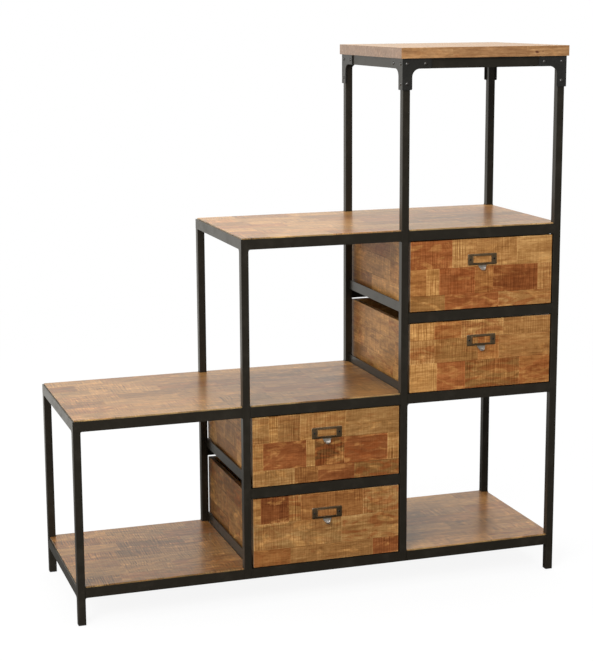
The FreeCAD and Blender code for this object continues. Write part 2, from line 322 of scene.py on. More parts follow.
class WoodLook(Look):
    """A look for staves that carry the colours tone, lot and rim at their corners.

    tone is the stave's own colour, with its saw marks. lot is its place in the wood, with its
    red streaks. rim is how far a corner is, in mm, from the stave's two long edges and its two
    ends."""

    def __init__(self, name, along):
        super().__init__(name)
        self.tone = self.attribute("tone")
        self.lot = self.attribute("lot")
        self.rim = self.attribute("rim")
        self.sides = self.parts(self.rim.outputs["Vector"])
        self.grain = self.grain_space(along)

    def grain_space(self, along):
        """A place in each stave's own wood, with the grain along the first axis."""
        here = self.vector("ADD", self.place(), self.lot.outputs["Color"])
        if along == X:
            return here
        source = self.parts(here)
        turned = self.add("ShaderNodeCombineXYZ")
        for start, stop in ((along, X), (X, along), (Z, Z)):
            self.join(source[start], turned.inputs[stop])
        return turned.outputs[0]

    def grain_noise(self, along, across, detail=2.0, roughness=0.5, distortion=0.0):
        """Noise in cells a metre along the grain and across it."""
        return self.noise(self.grain, (along, across, across), detail, roughness, distortion)

    def pale_rim_and_highlight(self, share):
        """A pale, ragged line here and there round a stave: partly a pale glue line, and partly a
        painted highlight where light catches the eased edge.
        """
        edge = self.math("MINIMUM", self.math("MINIMUM", self.sides[0], self.sides[1]), self.sides[2])
        edge = self.math("MINIMUM", edge, self.rim.outputs["Alpha"])
        ragged = self.math("MULTIPLY_ADD", self.noise(self.grain, 120), rim_raggedness, edge)
        line = self.ramp(ragged, low=rim_full, high=rim_gone, start=1.0, end=0.0)
        patch = self.ramp(self.noise(self.grain, 12, detail=1.0), low=0.44, high=0.56)
        return self.math("MULTIPLY", self.math("MULTIPLY", line, patch), share)

    def seam_light(self, edge, share):
        """Less light in stretches of the joints between rows, but not on the panel's edge."""
        joint = self.math("MINIMUM", self.sides[0], self.sides[1])
        line = self.ramp(joint, low=0.5, high=1.4, start=1.0, end=0.0)
        stretch = self.ramp(self.grain_noise(3, 30, detail=1.0), low=0.5, high=0.58)
        stretch = self.math("MULTIPLY", stretch, self.math("SUBTRACT", 1.0, edge))
        return self.math("MULTIPLY_ADD", self.math("MULTIPLY", line, stretch), -share, 1.0)

    def saw_relief(self):
        """The height of the saw's ridges, and how much of them each place keeps."""
        drift = self.math("MULTIPLY", self.grain_noise(30, 10), saw_ridge_drift)
        rate = 2 * math.pi / saw_ridge_step
        ridges = self.math("SINE", self.math("MULTIPLY_ADD", self.parts(self.grain)[0], rate, drift))
        tears = self.grain_noise(400, 12, roughness=0.6)
        height = self.math("MULTIPLY_ADD", ridges, saw_ridge_height, tears)
        patch = self.ramp(self.grain_noise(16, 28, detail=1.0), low=0.34, high=0.58, start=0.35)
        return height, self.math("MULTIPLY", patch, self.tone.outputs["Alpha"])

    def knot_share(self, centre, size):
        """How much of a surface a knot takes up: a ragged dark spot that is longer along X."""
        here = self.place()
        away = self.vector("MULTIPLY", self.vector("SUBTRACT", here, centre), knot_weights)
        ragged = self.noise(here, 180, detail=3.0)
        reach = self.math("MULTIPLY_ADD", ragged, size, self.length(away))
        return self.ramp(reach, low=size, high=knot_fade * size, start=knot_darkness, end=0.0)


def wood(
    name, along, through, roughness, coat, specular, figure_rate, contrast, saw_contrast, pale_rim_and_highlight_share,
    edge_painted_light, warmth, knots=(),
):
    """Glued blocks: each stave has its own tone, figure, streaks, saw marks and pale edges, which
    are partly painted highlight.

    The grain runs along one axis, and the panel's face looks along another, through. figure_rate
    is in cells a metre. The faces round the panel take their colour times a given tint, which is
    painted light: painted shade where it is below one, a painted highlight and reflection where it
    is above. warmth reddens what is dark, and knots are pairs of a centre and a size."""
    look = WoodLook(name, along)
    figure = look.grain_noise(8, figure_rate, detail=3.0, roughness=0.6, distortion=1.5)
    mottle = look.grain_noise(70, 150, detail=4.0, roughness=0.7, distortion=0.4)
    streaks = look.grain_noise(6, 190, detail=3.0, roughness=0.65, distortion=0.3)
    fibres = look.grain_noise(24, 520, roughness=0.6)
    strokes = look.grain_noise(22, 105, detail=3.0, roughness=0.6, distortion=1.2)
    flecks = look.grain_noise(60, 170, roughness=0.6, distortion=0.5)
    red = look.grain_noise(11, 34, detail=4.0, roughness=0.62, distortion=1.8)
    pale = look.grain_noise(13, 30, detail=3.0, roughness=0.6, distortion=1.4)
    strokes = look.ramp(strokes, low=0.57, high=0.7)
    flecks = look.ramp(flecks, low=0.6, high=0.74)
    red = look.math("MULTIPLY", look.ramp(red, low=0.46, high=0.58), look.lot.outputs["Alpha"])
    pale = look.ramp(pale, low=0.53, high=0.68)
    saw, saw_share = look.saw_relief()

    facing = look.parts(look.add("ShaderNodeTexCoord").outputs["Normal"])
    edge = look.math("ABSOLUTE", facing[through])
    edge = look.ramp(edge, low=0.4, high=0.9, start=1.0, end=0.0)
    end_grain = look.math("ABSOLUTE", facing[along])
    end_grain = look.ramp(end_grain, low=0.6, high=0.8, end=end_grain_share)
    body = look.blend(red, look.tone.outputs["Color"], tones["russet"])
    body = look.blend(look.math("MULTIPLY", pale, pale_share), body, tones["honey"])
    body = look.blend(look.math("MULTIPLY", strokes, stroke_share), body, tones["russet"])
    body = look.blend(end_grain, body, end_grain_tone)
    for centre, size in knots:
        body = look.blend(look.knot_share(centre, size), body, knot_tone)
    # Painted light on the faces round the panel: shade where the tint is below one, and a highlight
    # and reflection where it is above
    body = look.vector("MULTIPLY", body, look.blend(edge, white, edge_painted_light))

    light = look.around_one(figure, figure_light * contrast)
    for texture, strength in ((mottle, 1.0), (streaks, 1.0), (fibres, fibre_light)):
        light = look.math("MULTIPLY", light, look.around_one(texture, strength * contrast))
    saw_light = look.math("MULTIPLY", look.math("SUBTRACT", saw, 0.5), saw_share)
    light = look.math("MULTIPLY", light, look.math("MULTIPLY_ADD", saw_light, saw_contrast, 1.0))
    light = look.math("MULTIPLY_ADD", flecks, fleck_light * contrast, light)
    # Pale lines round the staves, partly a painted highlight on their eased edges
    light = look.math("ADD", light, look.pale_rim_and_highlight(pale_rim_and_highlight_share))
    light = look.math("MULTIPLY", light, look.seam_light(edge, seam_darkness))

    relief = look.math("MULTIPLY_ADD", saw, saw_share, look.math("MULTIPLY", streaks, streak_relief))
    relief = look.math("MULTIPLY_ADD", fibres, fibre_relief, relief)
    look.bump(relief, strength=0.6, distance=0.25 * mm)
    look.set(
        Base_Color=look.vector("MULTIPLY", body, look.warmed(light, warmth)),
        Roughness=look.math(
            "MULTIPLY_ADD", streaks, roughness_spread, roughness - roughness_spread / 2
        ),
        Specular_IOR_Level=specular,
        Coat_Weight=coat,
        Coat_Roughness=0.2,
    )
    return look.material


def plywood(name):
    """A plain rotary-cut sheet, matte, with long soft grain."""
    look = Look(name)
    here = look.place()
    figure = look.noise(here, (30, 5, 30), detail=4.0, roughness=0.6, distortion=1.2)
    fibres = look.noise(here, (420, 14, 420), detail=3.0)
    figure_shade = look.around_one(figure, strength=0.35)
    light = look.math("MULTIPLY", figure_shade, look.around_one(fibres, strength=0.2))
    look.bump(fibres, strength=0.3, distance=0.1 * mm)
    look.set(Base_Color=look.scaled(colour(186, 152, 108), light), Roughness=0.62)
    return look.material


def coated_steel(name, paint, roughness, peel_size, peel_height, specular=0.3):
    """Black powder coat: an orange peel, with faint rubs that are paler and rougher."""
    unrubbed_light = 0.9
    rub_light = 0.35
    rub_roughness = 0.1
    look = Look(name)
    here = look.place()
    peel = look.noise(here, 1 / peel_size)
    rubs = look.ramp(look.noise(here, 26, detail=4.0, roughness=0.65), low=0.45, high=0.75)
    light = look.math("MULTIPLY_ADD", rubs, rub_light, unrubbed_light)
    look.bump(peel, strength=0.4, distance=peel_height)
    look.set(
        Base_Color=look.scaled(paint, light),
        Roughness=look.math("MULTIPLY_ADD", rubs, rub_roughness, roughness),
        Specular_IOR_Level=specular,
    )
    return look.material


def aged_bronze(name, shade, worn_and_highlit, wear_and_highlight_low, wear_and_highlight_high):
    """Dark pressed metal that is rubbed bright where a hand reaches it, low on the lip, and bright
    with a painted highlight on its upper edge and its up-turned lip.
    """
    smoothest = 0.26
    tarnish_roughness = 0.25
    tarnish_wear = 0.25
    look = Look(name)
    here = look.place()
    tarnish = look.noise(here, 160, detail=4.0, roughness=0.6)
    wear_and_highlight = look.attribute("wear_and_highlight").outputs["Fac"]
    wear_and_highlight = look.math("MULTIPLY_ADD", tarnish, tarnish_wear, wear_and_highlight)
    wear_and_highlight = look.ramp(wear_and_highlight, wear_and_highlight_low, wear_and_highlight_high)
    look.bump(look.noise(here, 1400), strength=0.2, distance=0.05 * mm)
    patina = look.around_one(tarnish, strength=0.5)
    look.set(
        Base_Color=look.scaled(look.blend(wear_and_highlight, shade, worn_and_highlit), patina),
        Roughness=look.math("MULTIPLY_ADD", tarnish, tarnish_roughness, smoothest),
        Metallic=1.0,
    )
    return look.material


def moulded_plastic(name):
    look = Look(name)
    here = look.place()
    look.bump(look.noise(here, 1200), strength=0.3, distance=0.05 * mm)
    shade = look.around_one(look.noise(here, 60, detail=3.0), strength=0.4)
    look.set(Base_Color=look.scaled(colour(34, 33, 32), shade), Roughness=0.6)
    return look.material


# Fronts: their edges a little darker, painted shade
front_wood = wood(
    "block_wood_front", along=X, through=Y, roughness=0.5, coat=0.0, specular=0.12, figure_rate=28,
    contrast=1.2, saw_contrast=2.15, pale_rim_and_highlight_share=0.5, edge_painted_light=(0.9, 0.9, 0.9), warmth=0.3,
)
# Boards: paler, bluer edges, a painted highlight and reflection of the white surroundings
board_wood = wood(
    "block_wood_board", along=X, through=Z, roughness=0.38, coat=0.32, specular=0.4, figure_rate=40,
    contrast=1.1, saw_contrast=2.8, pale_rim_and_highlight_share=0.2, edge_painted_light=(1.1, 1.4, 1.8), warmth=0.05,
)
slab_knots = [((0.55, -0.2175, 1.3545), 3.6 * mm), ((0.566, -0.2175, 1.3565), 1.6 * mm)]
# Slab: a greyer, bluer front and ends, a painted sheen
slab_wood = wood(
    "block_wood_slab", along=X, through=Z, roughness=0.32, coat=0.25, specular=0.4, figure_rate=60,
    contrast=1.1, saw_contrast=0.0, pale_rim_and_highlight_share=0.05, edge_painted_light=(0.91, 0.93, 1.2), warmth=0.25,
    knots=slab_knots,
)
# Sides: edges much darker, painted shade from the runners and drawers above
side_wood = wood(
    "block_wood_side", along=Y, through=X, roughness=0.42, coat=0.0, specular=0.2, figure_rate=32,
    contrast=1.2, saw_contrast=2.8, pale_rim_and_highlight_share=0.3, edge_painted_light=(0.4, 0.4, 0.4), warmth=0.15,
)
panel_wood = plywood("drawer_panel")
frame_steel = coated_steel(
    "frame_steel", paint=colour(38, 34, 27), roughness=0.28, peel_size=1.2 * mm,
    peel_height=0.06 * mm,
)
bracket_steel = coated_steel(
    "bracket_steel", paint=colour(40, 39, 37), roughness=0.28, peel_size=3.0 * mm,
    peel_height=0.3 * mm,
)
rivet_steel = coated_steel(
    "rivet_steel", paint=colour(46, 43, 40), roughness=0.26, peel_size=1.2 * mm,
    peel_height=0.04 * mm, specular=0.9,
)
pull_bronze = aged_bronze(
    "pull_bronze", shade=colour(158, 134, 104), worn_and_highlit=colour(222, 216, 209), wear_and_highlight_low=0.2,
    wear_and_highlight_high=0.7,
)
screw_steel = coated_steel(
    "screw_steel", paint=colour(24, 23, 22), roughness=0.35, peel_size=1.2 * mm,
    peel_height=0.04 * mm,
)
plug_plastic = moulded_plastic("plug_plastic")


# Meshes

def add_object(name, data):
    made = bpy.data.objects.new(name, data)
    bpy.context.scene.collection.objects.link(made)
    return made


def add_piece(name, points, faces, material, body, smooth=None):
    """A closed mesh that rides on a body. smooth is the widest angle that shades as round."""
    mesh = bpy.data.meshes.new(name)
    mesh.from_pydata(points, [], faces)
    work = bmesh.new()
    work.from_mesh(mesh)
    bmesh.ops.recalc_face_normals(work, faces=work.faces)
    work.to_mesh(mesh)
    work.free()
    mesh.materials.append(material)
    piece = add_object(name, mesh)
    if smooth is not None:
        mesh.shade_smooth()
        mesh.set_sharp_from_angle(angle=math.radians(smooth))
    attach(piece, body)
    return piece


def append_mesh(points, faces, more_points, more_faces):
    """Puts a second mesh's points and faces after those of a first."""
    first = len(points)
    points += more_points
    faces += [[first + index for index in face] for face in more_faces]


def band(first, second, count):
    """The faces between two closed rings of points, by the index that each ring starts at."""
    faces = []
    for i in range(count):
        j = (i + 1) % count
        faces.append([first + i, first + j, second + j, second + i])
    return faces


def corner_values(mesh, name, values):
    """Stores one colour or number for each corner of each face."""
    kind = "FLOAT_COLOR" if isinstance(values[0], tuple) else "FLOAT"
    layer = mesh.attributes.new(name, kind, "CORNER")
    if kind == "FLOAT":
        layer.data.foreach_set("value", values)
    else:
        layer.data.foreach_set("color", [number for value in values for number in value])


# Block-wood panels

def bitten(rect, bites):
    """The corners of a rectangle, cut round each bite in its lower or upper edge."""
    u_low, u_high, v_low, v_high = rect
    lower = [(u_low, v_low)]
    upper = [(u_high, v_high)]
    for bite_low, bite_high, depth_low, depth_high in sorted(bites):
        start, stop = max(bite_low, u_low), min(bite_high, u_high)
        if start >= stop:
            continue
        if depth_low <= v_low < depth_high:
            lower += [(start, v_low), (start, depth_high), (stop, depth_high), (stop, v_low)]
        if depth_low < v_high <= depth_high:
            upper[1:1] = [(stop, v_high), (stop, depth_low), (start, depth_low), (start, v_high)]
    lower.append((u_high, v_low))
    upper.append((u_low, v_high))
    return tidy_outline(lower + upper)


def tidy_outline(outline):
    """Leaves out points that repeat and points in the middle of a straight or folded edge."""
    for i, point in enumerate(outline):
        before, after = outline[i - 1], outline[(i + 1) % len(outline)]
        for axis in (0, 1):
            gaps = (abs(point[axis] - before[axis]), abs(point[axis] - after[axis]))
            if max(gaps) < same_place:
                return tidy_outline(outline[:i] + outline[i + 1:])
    return outline


def inset_outline(outline, insets, share):
    """Moves each edge inwards, by the inset for its place or by that of a tight joint."""
    count = len(outline)
    moved = []
    for i, (u, v) in enumerate(outline):
        shift = [0.0, 0.0]
        for first, second in ((outline[i - 1], (u, v)), ((u, v), outline[(i + 1) % count])):
            level = 0 if abs(first[0] - second[0]) < abs(first[1] - second[1]) else 1
            forward = second[1 - level] - first[1 - level]
            inward = (1 if forward > 0 else -1) * (1 if level == 1 else -1)
            near = [inset for place, inset in insets[level] if abs(first[level] - place) < arris / 2]
            shift[level] = inward * share * (near[0] if near else tight_joint)
        moved.append((u + shift[0], v + shift[1]))
    return moved


def stave_rings(outline, insets, low, high):
    """The outline at each height of a block with eased arrises, from its back to its face."""
    rings = []
    for k in range(arris_steps + 1):
        turn = math.pi / 2 * k / arris_steps
        rings.append((low + arris * (1 - math.cos(turn)), 1 - math.sin(turn)))
    rings += [(low + high - height, share) for height, share in reversed(rings)]
    return [(height, inset_outline(outline, insets, share)) for height, share in rings]


def stave_mesh(rings, axes):
    """The points and faces of a block between its first ring and its last."""
    along, across, through = axes
    points = []
    for height, outline in rings:
        for u, v in outline:
            spot = [0.0, 0.0, 0.0]
            spot[along], spot[across], spot[through] = u, v, height
            points.append(spot)
    count = len(rings[0][1])
    last = len(points) - count
    faces = [list(range(count))]
    for base in range(0, last, count):
        faces += band(base, base + count, count)
    faces.append([last + i for i in range(count)])
    return points, faces


def panel(node, body, axes, rows, material, calm, shade, seed, bites=()):
    """A panel of staves that takes a node's place.

    axes are the grain's axis, the axis across the rows and the axis through the panel.
    rows are pairs of where a row ends, as a share of the panel, and its staves, each
    a pair of where it ends and its tone. calm is how far the tones keep to their mean, and
    shade makes the whole panel darker or lighter."""
    chance = random.Random(seed)
    along, across, through = axes
    low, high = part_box(node)
    insets = [[(low[axis], arris), (high[axis], arris)] for axis in (along, across)]
    for row_end, row in rows[:-1]:
        if chance.random() < open_joint_share:
            insets[1].append((low[across] + row_end * (high[across] - low[across]), open_joint))
    points, faces, owners, staves = [], [], [], []
    row_start = 0.0
    for row_end, row in rows:
        start = 0.0
        for end, tone in row:
            rect = (
                low[along] + start * (high[along] - low[along]),
                low[along] + end * (high[along] - low[along]),
                low[across] + row_start * (high[across] - low[across]),
                low[across] + row_end * (high[across] - low[across]),
            )
            staves.append((rect, stave_values(tone, chance, calm, shade)))
            rings = stave_rings(bitten(rect, bites), insets, low[through], high[through])
            block_points, block_faces = stave_mesh(rings, axes)
            append_mesh(points, faces, block_points, block_faces)
            owners += [len(staves) - 1] * len(block_faces)
            start = end
        row_start = row_end
    piece = add_piece(node + "_staves", points, faces, material, body)
    mark_staves(piece.data, owners, staves, along, across)
    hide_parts(node)


def stave_values(tone, chance, calm, shade):
    """A stave's own tone with its saw marks, and its place in the wood with its red streaks."""
    shade *= 1 + chance.uniform(-tone_spread, tone_spread)
    saw_marks = chance.choice(saw_mark_choices)
    red_streaks = chance.choice(red_streak_choices) * (1 - calm) ** 2
    place = tuple(chance.uniform(0, lot_span) for _ in range(3))
    own = [shade * (calm * mean + (1 - calm) * part) for mean, part in zip(tones["sand"], tones[tone])]
    return (*own, saw_marks), (*place, red_streaks)


def mark_staves(mesh, owners, staves, along, across):
    """Gives every corner its stave's values and how far it is from the stave's four edges."""
    tone_values, lot_values, rim_values = [], [], []
    for face in mesh.polygons:
        (u_low, u_high, v_low, v_high), (tone, lot) = staves[owners[face.index]]
        for index in face.vertices:
            place = mesh.vertices[index].co
            u, v = place[along], place[across]
            tone_values.append(tone)
            lot_values.append(lot)
            rim = (v - v_low, v_high - v, u - u_low, u_high - u)
            rim_values.append(tuple(distance / mm for distance in rim))
    corner_values(mesh, "tone", tone_values)
    corner_values(mesh, "lot", lot_values)
    corner_values(mesh, "rim", rim_values)


def random_rows(seed, row_count, mean_share, palette):
    """Rows of staves of uneven length, the same each time for a seed."""
    chance = random.Random(seed)
    rows = []
    for i in range(row_count):
        row = []
        end = chance.uniform(*first_stave_spread) * mean_share
        while end < 1 - last_stave_least * mean_share:
            row.append((end, chance.choice(palette)))
            end += chance.uniform(*stave_spread) * mean_share
        row.append((1.0, chance.choice(palette)))
        rows.append(((i + 1) / row_count, row))
    return rows


# Each front's rows from the bottom up, with where each row ends as a share of the height. Its
# staves from left to right, with where each ends as a share of the width and its tone.
front_layout_shares = {
    "middle_drawer_1": [
        (0.24, [(0.25, "amber"), (0.82, "tan"), (1, "rust")]),
        (0.62, [(0.60, "sand"), (1, "straw")]),
        (1, [(0.05, "honey"), (0.24, "russet"), (0.32, "honey"), (0.75, "amber"), (1, "straw")]),
    ],
    "middle_drawer_2": [
        (0.23, [(0.28, "straw"), (0.44, "amber"), (0.69, "rust"), (1, "olive")]),
        (0.62, [(0.07, "honey"), (0.36, "rust"), (0.42, "honey"), (0.62, "umber"),
                (0.92, "rust"), (1, "honey")]),
        (1, [(0.11, "straw"), (0.17, "honey"), (0.32, "tan"), (0.63, "honey"), (1, "straw")]),
    ],
    "right_drawer_1": [
        (0.41, [(0.19, "honey"), (0.39, "rust"), (0.78, "olive"), (1, "amber")]),
        (0.75, [(0.17, "tan"), (0.48, "olive"), (0.63, "amber"), (1, "tan")]),
        (1, [(0.17, "honey"), (0.36, "amber"), (0.66, "straw"), (1, "tan")]),
    ],
    "right_drawer_2": [
        (0.22, [(0.24, "olive"), (0.62, "rust"), (1, "tan")]),
        (0.60, [(0.11, "amber"), (0.20, "honey"), (0.45, "rust"), (0.58, "amber"),
                (0.90, "russet"), (1, "tan")]),
        (1, [(0.29, "rust"), (0.46, "straw"), (0.75, "tan"), (1, "straw")]),
    ],
}
drawers = sorted(front_layout_shares)
# How light each drawer's front and sides are: partly the wood's own tone, partly painted shade,
# darkest on the first middle drawer's sides
front_tone_and_shade = {
    "middle_drawer_1": 0.65, "middle_drawer_2": 0.63, "right_drawer_1": 0.86, "right_drawer_2": 0.85,
}
side_tone_and_shade = {
    "middle_drawer_1": 0.51, "middle_drawer_2": 1.05, "right_drawer_1": 0.83, "right_drawer_2": 1.13,
}
# The backs are dark as painted shade, for the shade inside the drawers
back_painted_shade = 0.6
side_row_count = 3
side_stave_share = 0.4
side_palette = ("sand", "olive", "straw", "sand", "straw")
front_seed = 20
side_row_seed = 40
side_seed = 60
back_row_seed = 80
back_seed = 90

# Each board's mean stave as a share of its length, its shade and its seed. The shade is partly the
# wood's own tone and partly painted shade, for the parts above that shade a board. The first step
# has a pale stave at the right end of its front row.
board_looks = {
    "bottom_left_board": (0.42, 0.62, 11),
    "bottom_right_board": (0.46, 0.86, 12),
    "step_1_board": (0.23, 0.64, 13),
    "step_2_board": (0.23, 0.86, 14),
}
pale_stave_tone = "honey"
board_row_count = 7
board_palette = ("tan", "amber", "straw", "olive", "sand", "honey", "straw", "olive")
slab_stave_share = 0.4
slab_palette = ("tan", "straw", "honey", "tan")
slab_front_row_shares = [(0.3, "tan"), (0.74, "amber"), (1, "tan")]
slab_seed = 15


def post_bites(node):
    """The room that a board leaves round the posts that pass through it."""
    bites = []
    board_low, board_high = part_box(node)
    for post in frame["nodes"]:
        if post.endswith("_post"):
            low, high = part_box(post)
            if low.z < board_low.z and high.z > board_high.z:
                gap = board_gap
                bites.append((low.x - gap, high.x + gap, low.y - gap, high.y + gap))
    return bites


def make_boards():
    """The laid boards and the slab, with rows that run along X."""
    for node, (stave_share, shade, seed) in board_looks.items():
        rows = random_rows(seed, board_row_count, stave_share, board_palette)
        if node == "step_1_board":
            front_row = rows[0][1]
            front_row[-1] = (1.0, pale_stave_tone)
        panel(
            node, "frame", (X, Y, Z), rows, board_wood,
            calm=0.3, shade=shade, seed=seed, bites=post_bites(node),
        )
    rows = random_rows(slab_seed, board_row_count, slab_stave_share, slab_palette)
    rows[0] = (rows[0][0], slab_front_row_shares)
    panel(
        "top_slab", "frame", (X, Y, Z), rows, slab_wood,
        calm=0.8, shade=0.9, seed=slab_seed,
    )


def make_drawer_boxes():
    """Fronts as in the photograph, and sides and back of the same blocks."""
    for number, drawer in enumerate(drawers):
        panel(
            drawer + "_front", drawer, (X, Z, Y), front_layout_shares[drawer], front_wood,
            calm=0.1, shade=front_tone_and_shade[drawer], seed=front_seed + number,
        )
        for side, name in enumerate(("_left_side", "_right_side")):
            place = 2 * number + side
            rows = random_rows(side_row_seed + place, side_row_count, side_stave_share, side_palette)
            panel(
                drawer + name, drawer, (Y, Z, X), rows, side_wood,
                calm=0.2, shade=side_tone_and_shade[drawer], seed=side_seed + place,
            )
        rows = random_rows(back_row_seed + number, side_row_count, side_stave_share, side_palette)
        panel(
            drawer + "_back", drawer, (X, Z, Y), rows, front_wood,
            calm=0.4, shade=back_painted_shade, seed=back_seed + number,
        )


# Pulls

def ring_points(half_width, half_height, radius, depth):
    """A rounded rectangle in the XZ plane at a depth, from its lower left corner round."""
    points = []
    for corner, (side, level) in enumerate(((-1, -1), (1, -1), (1, 1), (-1, 1))):
        for i in range(plate_corner_steps + 1):
            turn = math.pi + math.pi / 2 * (corner + i / plate_corner_steps)
            x = side * (half_width - radius) + radius * math.cos(turn)
            z = level * (half_height - radius) + radius * math.sin(turn)
            points.append((x, depth, z))
    return points


def label_frame(centre, half_width, half_height):
    """A pressed frame round a window, with a rolled rim and rounded outer edge, and its wear, with a
    painted highlight along the upper outer edge.
    """
    back = centre[1]
    face = back - plate_thickness
    w, h = window_width / 2, window_height / 2
    rings = [(w, h, window_corner, back)]
    for i in range(rim_steps + 1):
        turn = math.pi * i / rim_steps
        out = rim_width / 2 * (1 - math.cos(turn))
        depth = face - rim_height * math.sin(turn)
        rings.append((w + out, h + out, window_corner + out, depth))
    edge = plate_edge
    middle = plate_edge_middle
    rings += [
        (half_width - edge, half_height - edge, plate_corner - edge, face),
        (half_width - middle, half_height - middle, plate_corner, face + middle),
        (half_width, half_height, plate_corner, face + edge),
        (half_width, half_height, plate_corner, back),
    ]
    points, wear_and_highlight = [], []
    for ring in rings:
        outline = ring_points(*ring)
        points += [(centre[0] + x, y, centre[2] + z) for x, y, z in outline]
        outer = ring[0] > half_width - edge
        # The upper outer edge gets wear and a painted highlight, as if lit from above
        wear_and_highlight += [upper_edge_wear_and_highlight if outer and z > 0 else plate_wear for _, _, z in outline]
    count = len(points) // len(rings)
    faces = []
    for k in range(len(rings)):
        after = (k + 1) % len(rings)
        faces += band(k * count, after * count, count)
    return points, faces, wear_and_highlight


def finger_lip(centre, half_height):
    """A tongue that drops from the frame and curls out, hollowed like a spoon, and its wear, with a
    painted highlight that grows towards the tip, which faces up.
    """
    axis_y = centre[1] - lip_radius - lip_thickness / 2
    root_z = centre[2] - half_height
    points, wear_and_highlight = [], []
    for layer in (lip_radius - lip_thickness / 2, lip_radius + lip_thickness / 2):
        for i in range(lip_steps + 1):
            share = i / lip_steps
            turn = math.pi / 2 * share
            flare = (1 - share) ** lip_flare_power
            half = (lip_tip_width + (lip_root_width - lip_tip_width) * flare) / 2
            if share > lip_tip_start:
                into_tip = (share - lip_tip_start) / (1 - lip_tip_start)
                half *= math.sqrt(max(0.0, 1 - into_tip ** 2))
            for j in range(lip_sides + 1):
                side = 2 * j / lip_sides - 1
                reach = layer - lip_spoon * share * side ** 2
                points.append((
                    centre[0] + half * side,
                    axis_y + reach * math.cos(turn),
                    root_z - reach * math.sin(turn),
                ))
                # Wear and a painted highlight, brighter towards the tip that faces up
                wear_and_highlight.append(lip_root_wear_and_highlight + share)
    row = lip_sides + 1
    layer = row * (lip_steps + 1)
    faces = []
    for i in range(lip_steps):
        for j in range(lip_sides):
            a = i * row + j
            faces.append([a, a + 1, a + row + 1, a + row])
            faces.append([layer + a, layer + a + 1, layer + a + row + 1, layer + a + row])
        for j in (0, lip_sides):
            a = i * row + j
            faces.append([a, a + row, layer + a + row, layer + a])
    for j in range(lip_sides):
        faces.append([j, j + 1, layer + j + 1, layer + j])
    return points, faces, wear_and_highlight


def make_pull(drawer):
    """A pull in place of the node: the label frame is above, and its lip hangs below."""
    node = drawer + "_pull"
    low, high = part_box(node)
    half_width = (high.x - low.x) / 2
    half_height = (high.z - (low.z + lip_radius + lip_thickness / 2)) / 2
    front_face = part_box(drawer + "_front")[0].y
    centre = ((low.x + high.x) / 2, front_face, high.z - half_height)
    points, faces, wear_and_highlight = label_frame(centre, half_width, half_height)
    lip_points, lip_faces, lip_wear_and_highlight = finger_lip(centre, half_height)
    append_mesh(points, faces, lip_points, lip_faces)
    wear_and_highlight += lip_wear_and_highlight
    piece = add_piece(
        node + "_pressing", points, faces, pull_bronze, drawer, smooth=40
    )
    mesh = piece.data
    values = [wear_and_highlight[index] for face in mesh.polygons for index in face.vertices]
    corner_values(mesh, "wear_and_highlight", values)
    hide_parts(node)


def slotted_head(centre, radius, turn):
    """A low domed head with a straight slot, as a fine grid over a disc."""
    points = [(centre[0], centre[1] - screw_rise + slot_depth, centre[2])]
    for i in range(1, screw_rings + 1):
        reach = radius * i / screw_rings
        for j in range(screw_spokes):
            angle = 2 * math.pi * j / screw_spokes
            x, z = reach * math.cos(angle), reach * math.sin(angle)
            rise = screw_rise * (1 - (reach / radius) ** 2) + screw_edge
            from_slot = abs(x * math.sin(turn) - z * math.cos(turn))
            if from_slot < slot_width / 2:
                rise = max(0.0, rise - slot_depth)
            points.append((centre[0] + x, centre[1] - rise, centre[2] + z))
    foot = len(points)
    for j in range(screw_spokes):
        angle = 2 * math.pi * j / screw_spokes
        x, z = radius * math.cos(angle), radius * math.sin(angle)
        points.append((centre[0] + x, centre[1], centre[2] + z))
    faces = [[0, 1 + j, 1 + (j + 1) % screw_spokes] for j in range(screw_spokes)]
    for i in range(screw_rings):
        base = 1 + i * screw_spokes
        faces += band(base, base + screw_spokes, screw_spokes)
    faces.append([foot + j for j in range(screw_spokes)])
    return points, faces


def make_pull_screws(drawer, chance):
    node = drawer + "_pull_screws"
    low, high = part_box(node)
    radius = (high.z - low.z) / 2
    points, faces = [], []
    for x in (low.x + radius, high.x - radius):
        centre = (x, high.y, (low.z + high.z) / 2)
        append_mesh(points, faces, *slotted_head(centre, radius, chance.uniform(0, math.pi)))
    piece = add_piece(
        node + "_slotted", points, faces, screw_steel, drawer, smooth=35
    )
    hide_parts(node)


# Welds

def weld_fillet(corner, first, second, through, chance):
    """A concave fillet in the corner between two directions, as thick as the angle's wall."""
    leg = weld_leg + chance.uniform(-weld_leg_spread, weld_leg_spread)
    centre = corner + (first + second) * leg
    outline = [corner]
    for i in range(weld_steps + 1):
        turn = math.pi / 2 * i / weld_steps
        outline.append(centre - first * leg * math.cos(turn) - second * leg * math.sin(turn))
    count = len(outline)
    points = [point + through * depth for depth in (0, weld_thickness) for point in outline]
    faces = [list(range(count)), list(range(count, 2 * count))]
    return points, faces + band(0, count, count)


def rail_levels(node):
    """The lower and upper heights of a rail's upright leg."""
    low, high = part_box(node)
    return low.z, high.z


def post_sides(post, levels):
    """Where a weld has a post to run along: -1 with a rail's lower edge, 1 with its upper edge."""
    low, high = post
    sides = []
    if low.z < levels[0] - weld_leg:
        sides.append((-1, levels[0]))
    if high.z > levels[1] + weld_leg:
        sides.append((1, levels[1]))
    return sides


